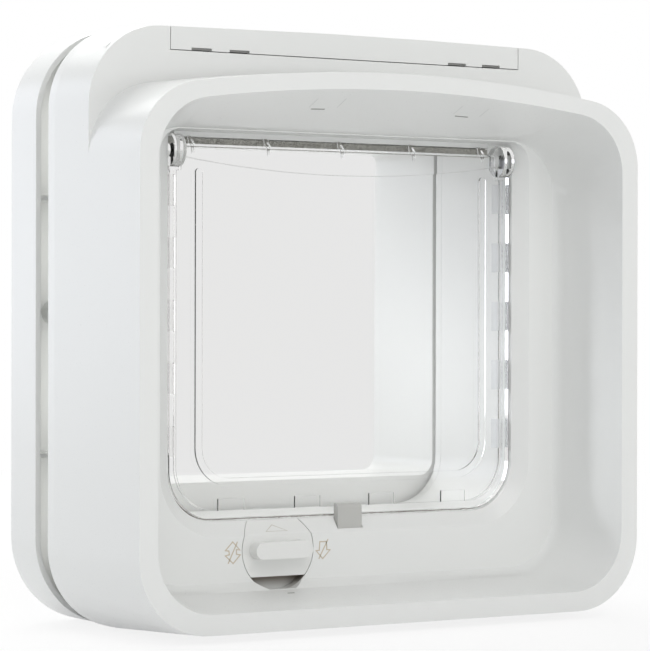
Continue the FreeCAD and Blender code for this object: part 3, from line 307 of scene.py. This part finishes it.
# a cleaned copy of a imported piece, with its sharp edges eased
def dress(node, how):
    piece = added(node + "Shape", frame["nodes"][node].data.copy())
    mesh = bmesh.new()
    mesh.from_mesh(piece.data)
    bmesh.ops.remove_doubles(mesh, verts=mesh.verts, dist=clean["weld"])
    bmesh.ops.dissolve_degenerate(mesh, edges=mesh.edges, dist=clean["sliver"])
    bmesh.ops.dissolve_limit(mesh, angle_limit=math.radians(clean["flat"]), verts=mesh.verts, edges=mesh.edges)
    depth = how.get("end", max)(corner.co.y for corner in mesh.verts)
    widest = max(how.get(key, 0) for key in ("all", "outer", "inner"))
    weight = mesh.edges.layers.float.new("bevel_weight_edge")
    for edge in mesh.edges:
        if len(edge.link_faces) == 2 and edge.calc_face_angle() > math.radians(clean["sharp"]):
            edge[weight] = easeOf(edge, how, depth) / widest
    for face in mesh.faces:
        face.smooth = True
    mesh.to_mesh(piece.data)
    mesh.free()
    bevel = piece.modifiers.new("ease", "BEVEL")
    bevel.width = widest
    bevel.segments = clean["steps"]
    bevel.limit_method = "WEIGHT"
    flat = piece.modifiers.new("flat", "WEIGHTED_NORMAL")  # keeps the broad faces flat beside their eased edges
    flat.weight = 100
    piece.data.materials.clear()
    piece.data.materials.append(extras["frontShellShaded"] if node == "front_housing" else finishes[slots[node]])
    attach(piece, bodies[node])
    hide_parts(node)


for node, plain in frame["nodes"].items():
    plain.data.materials.clear()
    plain.data.materials.append(finishes[slots[node]])
for node, how in eased.items():
    dress(node, how)
print("pieces eased:", len(eased))

pile = {"density": 8e6, "length": 0.0007, "thick": 0.00012, "lean": 0.45, "shortest": 0.7, "seed": 7}


# bristles scattered over a core's faces, each leaning its own way
def pileTree():
    tree = bpy.data.node_groups.new("pileTree", "GeometryNodeTree")
    tree.interface.new_socket(name="Geometry", in_out="OUTPUT", socket_type="NodeSocketGeometry")
    sockets = {"Geometry": "Geometry", "Density": "Float", "Length": "Float", "Thickness": "Float",
               "Lean": "Float", "Seed": "Int", "Finish": "Material"}
    for name, kind in sockets.items():
        tree.interface.new_socket(name=name, in_out="INPUT", socket_type="NodeSocket" + kind)
    inside = tree.nodes.new("NodeGroupInput")

    # a node whose values are numbers, links, or the names of the tree's inputs
    def add(kind, settings, values, output=0):
        node = tree.nodes.new(kind)
        for key, value in settings.items():
            setattr(node, key, value)
        for key, value in values.items():
            plug(tree, inside.outputs[value] if isinstance(value, str) else value, node.inputs[key])
        return node.outputs[output]

    points = add("GeometryNodeDistributePointsOnFaces", {},
                 {"Mesh": "Geometry", "Density": "Density", "Seed": "Seed"}).node
    bristle = add("GeometryNodeMeshCone", {"fill_type": "NGON"},
                  {"Vertices": 3, "Radius Bottom": "Thickness", "Depth": "Length"})
    low = add("ShaderNodeMath", {"operation": "MULTIPLY"}, {0: "Lean", 1: -1.0})
    corner = add("ShaderNodeCombineXYZ", {}, {0: "Lean", 1: "Lean"})
    other = add("ShaderNodeCombineXYZ", {}, {0: low, 1: low})
    turn = add("FunctionNodeRandomValue", {"data_type": "FLOAT_VECTOR"}, {0: other, 1: corner, "Seed": "Seed"})
    lean = add("FunctionNodeEulerToRotation", {}, {0: turn})
    aim = add("FunctionNodeRotateRotation", {"rotation_space": "LOCAL"},
              {0: points.outputs["Rotation"], 1: lean})
    size = add("FunctionNodeRandomValue", {"data_type": "FLOAT"}, {2: pile["shortest"], 3: 1.0, "Seed": "Seed"}, 1)
    copies = add("GeometryNodeInstanceOnPoints", {},
                 {"Points": points.outputs["Points"], "Instance": bristle, "Rotation": aim, "Scale": size})
    real = add("GeometryNodeRealizeInstances", {}, {0: copies})
    joined = tree.nodes.new("GeometryNodeJoinGeometry")
    tree.links.new(real, joined.inputs[0])
    tree.links.new(inside.outputs["Geometry"], joined.inputs[0])
    finish = add("GeometryNodeSetMaterial", {}, {"Geometry": joined.outputs[0], "Material": "Finish"})
    tree.links.new(finish, tree.nodes.new("NodeGroupOutput").inputs[0])
    return tree


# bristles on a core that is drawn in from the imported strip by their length
def bristled(node, finish, tree):
    core = added(node + "Core", frame["nodes"][node].data.copy())
    mesh = bmesh.new()
    mesh.from_mesh(core.data)
    bmesh.ops.remove_doubles(mesh, verts=mesh.verts, dist=clean["weld"])
    mesh.normal_update()
    for corner in mesh.verts:
        corner.co -= corner.normal * pile["length"]
    mesh.to_mesh(core.data)
    mesh.free()
    grow = core.modifiers.new("bristles", "NODES")
    grow.node_group = tree
    values = {"Density": pile["density"], "Length": pile["length"], "Thickness": pile["thick"],
              "Lean": pile["lean"], "Seed": pile["seed"], "Finish": finish}
    for item in tree.interface.items_tree:
        if item.in_out == "INPUT" and item.name in values:
            grow[item.identifier] = values[item.name]
    made = bpy.data.meshes.new_from_object(core.evaluated_get(bpy.context.evaluated_depsgraph_get()))
    bpy.data.objects.remove(core)
    piece = added(node + "Pile", made)
    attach(piece, bodies[node])
    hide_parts(node)
    print(piece.name, "faces:", len(made.polygons))


pileNodes = pileTree()
bristled("head_brush", finishes["pile"], pileNodes)
bristled("flap_brush", extras["ringPile"], pileNodes)

# the part is drawn in millimetres from the middle of the housing's front
drawingOrigin = Vector((middle.x, cadBox[0][1], middle.z))


def placed(x, y, z):
    return Vector((x, y, z)) / 1000 + drawingOrigin


# how far a drawn line stands proud and is sunk, and how much its corners may spread
ink = {"proud": 0.00004, "sunk": 0.00004, "spread": 2, "sharpest": 0.3}


# a thin closed band along points on a surface that faces one way
def band(mesh, points, facing, width, closed=False):
    rows = []
    count = len(points)
    for place, point in enumerate(points):
        before = points[place - 1] if closed or place else point
        after = points[(place + 1) % count] if closed or place < count - 1 else point
        inward, outward = point - before, after - point
        way = (inward.normalized() + outward.normalized()).normalized()
        side = facing.cross(way).normalized()
        longer = outward if outward.length > inward.length else inward
        square = abs(facing.cross(longer.normalized()).dot(side))
        reach = side * width / 2 * min(ink["spread"], 1 / max(ink["sharpest"], square))
        top, foot = facing * ink["proud"], -facing * ink["sunk"]
        rows.append([mesh.verts.new(point + step)
                     for step in (reach + top, top - reach, foot - reach, reach + foot)])
    ringed(mesh, rows, closed)
    if not closed:
        mesh.faces.new(rows[0])
        mesh.faces.new(rows[-1])


# faces between rows of corners, each row a closed ring
def ringed(mesh, rows, closed):
    for here, there in zip(rows, rows[1:] + rows[:1] if closed else rows[1:]):
        for corner in range(len(here)):
            after = (corner + 1) % len(here)
            mesh.faces.new((here[corner], here[after], there[after], there[corner]))


# a box between two places on each of the drawing's axes
def block(mesh, across, depths, heights):
    ends = [placed(x, y, z) for x in across for y in depths for z in heights]
    bmesh.ops.convex_hull(mesh, input=[mesh.verts.new(end) for end in ends])


def finishPiece(name, mesh, finish, body):
    bmesh.ops.recalc_face_normals(mesh, faces=mesh.faces)
    data = bpy.data.meshes.new(name)
    mesh.to_mesh(data)
    mesh.free()
    data.materials.append(finish)
    piece = added(name, data)
    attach(piece, body)
    return piece


# what is printed on the plate by the knob: two arrows, each with a stroke through it
marks = {"line": 0.0004, "plate": 33,
         "leftArrow": [(-48.5, -74.3), (-45.6, -77.2), (-47, -77), (-47, -78.6), (-45.5, -78.9), (-48.3, -81.8),
                       (-51.4, -79), (-49.8, -78.7), (-50, -77.4), (-51.4, -77.2)],
         "rightArrow": [(-13.2, -75.7), (-10.5, -75.7), (-10.3, -78.6), (-9, -78.7), (-12, -81.7),
                        (-14.7, -78.8), (-13.4, -78.7)],
         "strokes": [[(-46.6, -74.3), (-50.3, -81.8)], [(-9.8, -74.9), (-13.6, -81.7)]]}
forward = Vector((0, -1, 0))
drawn = bmesh.new()
for key in ("leftArrow", "rightArrow"):
    band(drawn, [placed(x, marks["plate"], z) for x, z in marks[key]], forward, marks["line"], closed=True)
for stroke in marks["strokes"]:
    band(drawn, [placed(x, marks["plate"], z) for x, z in stroke], forward, marks["line"])
finishPiece("printedArrows", drawn, extras["print"], "housing")

# the pointer above the knob's grip
pointer = {"line": 0.0003, "corners": [(-31.4, 35.56, -69.2), (-34.6, 33.88, -71.3), (-26.1, 33.88, -71.3)]}
corners = [placed(*corner) for corner in pointer["corners"]]
slope = (corners[1] - corners[0]).cross(corners[2] - corners[0]).normalized()
slope = slope if slope.y < 0 else -slope
drawn = bmesh.new()
band(drawn, corners, slope, pointer["line"], closed=True)
finishPiece("knobPointer", drawn, extras["palePrint"], "knob")

# tabs that stand behind the flap's two sides; the right row is painted milky white as a highlight, the left row is
# clear
tabs = {"x": (67.9, 68.6), "depth": (40.35, 45), "middle": 4, "pitch": 21.7, "length": 10.8, "count": 5,
        "soft": 0.0002}
for name, hand, finish in (("leftTabs", -1, finishes["flap_clear"]), ("rightTabs", 1, extras["highlightTab"])):
    drawn = bmesh.new()
    for step in range(tabs["count"]):
        level = tabs["middle"] + (step - (tabs["count"] - 1) / 2) * tabs["pitch"]
        heights = (level - tabs["length"] / 2, level + tabs["length"] / 2)
        block(drawn, [hand * x for x in tabs["x"]], tabs["depth"], heights)
    row = finishPiece(name, drawn, finish, "flap")
    soft = row.modifiers.new("soft", "BEVEL")
    soft.width = tabs["soft"]
    soft.segments = 2

# lip that closes the rear frame's socket behind the sleeve, following the doorway
lip = {"half": 72, "low": -67.4, "high": 68, "lowRound": 18, "highRound": 3, "depth": (84.8, 88.4),
       "grow": (0.15, 1.6), "steps": 8}


# the doorway's outline at one depth, grown on all sides, from its upper right corner round
def doorOutline(grow, depth):
    points = []
    high, low = (lip["high"], lip["highRound"]), (lip["low"], lip["lowRound"])
    for turn, (hand, (level, size)) in enumerate(((1, high), (-1, high), (-1, low), (1, low))):
        for step in range(lip["steps"] + 1):
            angle = math.radians(90 * (turn + step / lip["steps"]))
            points.append(placed(hand * (lip["half"] - size) + (size + grow) * math.cos(angle), depth,
                                 level - math.copysign(size, level) + (size + grow) * math.sin(angle)))
    return points


drawn = bmesh.new()
(inner, outer), (near, far) = lip["grow"], lip["depth"]
ringed(drawn, [[drawn.verts.new(point) for point in doorOutline(grow, depth)]
               for grow, depth in ((inner, near), (outer, near), (outer, far), (inner, far))], True)
finishPiece("sleeveLip", drawn, finishes["shell_white"], "housing")

packed = frame["nodes"]["front_housing"].data
hood = BVHTree.FromPolygons([corner.co for corner in packed.vertices], [face.vertices for face in packed.polygons])


# a line between spots on the hood's inner face, found straight up or down from inside the recess
def hoodLine(mesh, spots, way, width):
    found = [hood.ray_cast(placed(x, y, 0), Vector((0, 0, way))) for x, y in spots]
    band(mesh, [hit[0] for hit in found], found[0][1], width)


# two moulding clips in the ceiling, with dark bands of painted shade for their slits, and a dark line of painted
# shade on the floor under the knob
clips = {"left": (-30.2, 29.5), "wide": 11.2, "near": 6.5, "far": 12.7, "slot": (1.5, 7), "slotDepth": 13.9,
         "line": 0.00022, "slotLine": 0.0006, "mark": (-31.6, -28.9), "markDepth": 24, "markLine": 0.0008}
lines, slits = bmesh.new(), bmesh.new()
for left in clips["left"]:
    right = left + clips["wide"]
    hoodLine(lines, [(left, clips["near"]), (left, clips["far"])], 1, clips["line"])
    hoodLine(lines, [(right, clips["far"]), (right, clips["near"])], 1, clips["line"])
    # a dark band of painted shade where the clip's slit is
    hoodLine(slits, [(left + shift, clips["slotDepth"]) for shift in clips["slot"]], 1, clips["slotLine"])
# a dark line of painted shade on the floor under the knob
hoodLine(slits, [(x, clips["markDepth"]) for x in clips["mark"]], -1, clips["markLine"])
finishPiece("clipLines", lines, extras["faint"], "housing")
finishPiece("clipSlits", slits, extras["dark"], "housing")

# hooks of the housing that show in the slots under the cover; their mid grey, darker than the white housing, is
# painted shade of the slots
hooks = {"x": (41.8, 56.8), "length": 7.4, "depth": (34.8, 35.8), "height": (95.4, 96)}
drawn = bmesh.new()
for start in hooks["x"]:
    for hand in (-1, 1):
        block(drawn, (hand * start, hand * (start + hooks["length"])), hooks["depth"], hooks["height"])
finishPiece("coverHooks", drawn, extras["hook"], "housing")
print("marks, tabs, lip, clips and hooks made")

# stage, lights and camera
stage = {"size": 6, "white": 0.93, "rough": 0.9, "lit": 0.49, "near": 0.84, "fadeFrom": 0.25, "fadeTo": 0.9,
         "behindFlap": 0.8}


# how bright the plain backdrop is to a ray: white to the camera and in gloss, a little less through the flap
def seenBy(path):
    camera, glossy, through = (path("Is %s Ray" % kind) for kind in ("Camera", "Glossy", "Transmission"))
    level = camera + glossy * (1 - through) + through * stage["behindFlap"]
    return (camera + glossy + through).clamp(), level


# a floor that keeps the shadow near the object and fades to the backdrop away from it
def stageFinish():
    shader = Shader("stageFloor")
    seen, level = seenBy(lambda name: shader.add("ShaderNodeLightPath", {}, {}, name))
    away = shader.add("ShaderNodeVectorMath", {"operation": "LENGTH"}, {0: shader.place}, "Value")
    far = ((away - stage["fadeFrom"]) * (1 / (stage["fadeTo"] - stage["fadeFrom"]))).clamp()
    shader.set(Base_Color=(stage["white"],) * 3, Roughness=stage["rough"])
    glow = shader.add("ShaderNodeEmission", {}, {"Color": (1, 1, 1, 1), "Strength": level})
    shader.blend(seen * (far * (1 - stage["near"]) + stage["near"]), shader.surface.outputs[0], glow)
    return shader.material


bpy.ops.mesh.primitive_plane_add(size=stage["size"])
floor = bpy.context.object
floor.name = "floor"
floor.data.materials.append(stageFinish())

world = bpy.context.scene.world or bpy.data.worlds.new("studio")
bpy.context.scene.world = world
world.use_nodes = True
sky = world.node_tree
back = sky.nodes["Background"]
path = sky.nodes.new("ShaderNodeLightPath")
seen, level = seenBy(lambda name: Link(sky, path.outputs[name]))
plug(sky, (1 - seen) * stage["lit"] + level, back.inputs["Strength"])
back.inputs["Color"].default_value = (1, 1, 1, 1)

# each lamp's place, width and height, and power for each colour. It aims at the middle of the object, or where it
# says, and an unseen one is left out of gloss and glass
lamps = {"backLeft": {"place": (-0.9, 1.7, 0.3), "size": (1.0, 1.2), "power": (4.9, 5.1, 5.7)},
         "backRight": {"place": (0.3, 1.9, 0.3), "size": (1.0, 1.2), "power": (4.4, 4.3, 4.3)},
         "sideLeft": {"place": (-1.6, -0.3, 0.5), "size": (0.8, 1.4), "power": (1.5, 1.7, 2.0)},
         "topFront": {"place": (-0.3, -1.2, 1.3), "size": (1.2, 1.0), "power": (6.6, 6.5, 6.4)},
         "topBack": {"place": (0, 0.9, 1.3), "size": (1.4, 1.0), "power": (12.0, 12.2, 12.0)},
         "lowFront": {"place": (0.1, -1.5, 0.06), "size": (1.4, 0.2), "power": (3.8, 3.9, 3.9), "unseen": True},
         "doorway": {"place": (-0.42, 0.5, 0.24), "size": (0.08, 0.08), "power": (0.0122, 0.0125, 0.013),
                     "aim": (0.066, 0.015, 0.09), "spread": 12, "unseen": True}}
# light that thin white plastic would let into the rear frame's hollow
hollow = {"x": 0.0885, "y": 0.0105, "size": (0.01, 0.17), "power": (0.008, 0.008, 0.0078)}
for name, x in (("hollowLeft", -hollow["x"]), ("hollowRight", hollow["x"])):
    lamps[name] = {"place": (x, hollow["y"], middle.z), "size": hollow["size"], "power": hollow["power"],
                   "aim": (x, 1, middle.z), "unseen": True}


def softbox(name, how):
    data = bpy.data.lights.new(name, "AREA")
    data.shape = "RECTANGLE"
    data.size, data.size_y = how["size"]
    data.energy = max(how["power"])
    data.color = [part / data.energy for part in how["power"]]
    data.spread = math.radians(how.get("spread", 180))
    lamp = added(name, data)
    lamp.location = how["place"]
    lamp.rotation_euler = (Vector(how.get("aim", middle)) - lamp.location).to_track_quat("-Z", "Y").to_euler()
    lamp.visible_glossy = lamp.visible_transmission = "unseen" not in how


for name, how in lamps.items():
    softbox(name, how)

shot = {"focal": 2745.6, "frame": 651, "yaw": 31.37, "pitch": -0.265, "roll": 0.121,
        "place": (-0.51608, -0.86130, 0.11012), "sensor": 36, "nearest": 0.05, "farthest": 20}


def aimCamera():
    data = bpy.data.cameras.new("camera")
    data.sensor_width = shot["sensor"]
    data.lens = shot["focal"] / shot["frame"] * shot["sensor"]
    data.clip_start, data.clip_end = shot["nearest"], shot["farthest"]
    camera = added("camera", data)
    yaw, pitch, roll = (math.radians(shot[key]) for key in ("yaw", "pitch", "roll"))
    ahead = Vector((math.sin(yaw) * math.cos(pitch), math.cos(yaw) * math.cos(pitch), math.sin(pitch)))
    right = Vector((math.cos(yaw), -math.sin(yaw), 0))
    above = right.cross(ahead)
    across = right * math.cos(roll) + above * math.sin(roll)
    above = above * math.cos(roll) - right * math.sin(roll)
    camera.matrix_world = Matrix((across, above, -ahead)).transposed().to_4x4()
    camera.location = shot["place"]
    bpy.context.scene.camera = camera


aimCamera()
bpy.context.scene.view_settings.view_transform = "Standard"
print("stage set")
